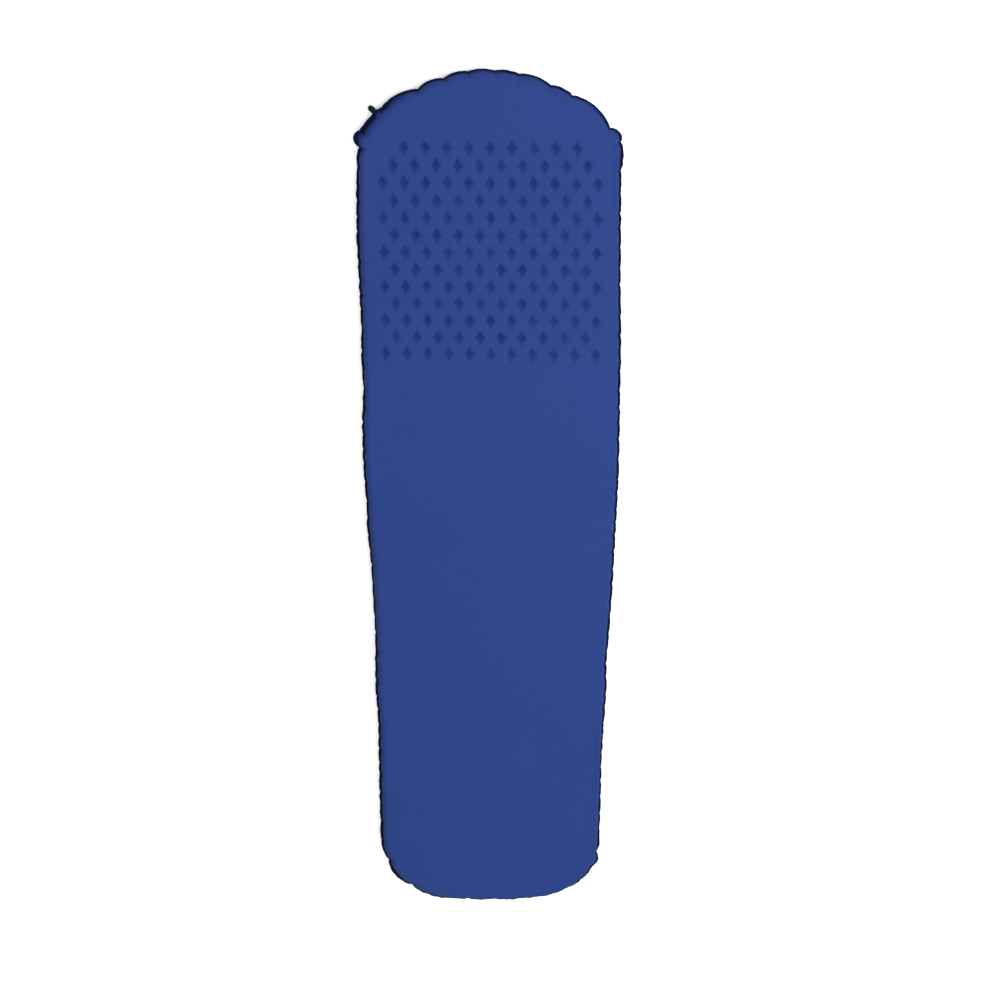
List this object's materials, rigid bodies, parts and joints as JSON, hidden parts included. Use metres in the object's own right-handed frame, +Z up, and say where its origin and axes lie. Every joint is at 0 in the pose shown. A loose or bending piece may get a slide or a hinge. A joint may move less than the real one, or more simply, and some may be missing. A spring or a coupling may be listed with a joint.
{
  "type": "self-inflating camping mattress",
  "caption": "Flat self-inflating camping mattress: welded fabric covers over a foam core with a die-cut head end, and a twist valve in the head's rim.",
  "frame": {"origin": "under the middle of the pad's bounding box, on the ground that the underside rests on", "axes": "+Z up from the ground, +Y along the pad towards the head, +X across it"},
  "size_m": [0.51, 1.8298, 0.025],
  "materials": {
    "face_fabric": "matte",
    "underside_fabric": "matte",
    "weld_band": "satin",
    "airtight_film": "satin",
    "foam": "matte",
    "valve_moulding": "satin",
    "plug_moulding": "satin",
    "seal_rubber": "matte"
  },
  "bodies": {
    "pad": {"top_cover": "face_fabric", "top_film": "airtight_film", "foam_core": "foam", "bottom_film": "airtight_film", "bottom_cover": "underside_fabric", "edge_weld": "weld_band", "valve_body": "valve_moulding", "valve_screen": "plug_moulding", "plug_post": "plug_moulding", "plug_seal": "seal_rubber"},
    "cap_ring": {"neck_seal": "seal_rubber"},
    "cap": {"valve_cap": "valve_moulding"}
  },
  "joints": [
    {"name": "cap_rise", "type": "slide", "parent": "pad", "child": "cap_ring", "axis": [-0.7072, 0.707, 0], "range_m": [0, 0.0025]},
    {"name": "cap_turn", "type": "hinge", "parent": "cap_ring", "child": "cap", "pos_m": [-0.22702, 0.84198, 0.0125], "axis": [-0.7072, 0.707, 0], "range_deg": [0, 360]}
  ],
  "couplings": [
    {"joint": "cap_turn", "follows": "cap_rise", "rad_per_m": 2513.3}
  ]
}
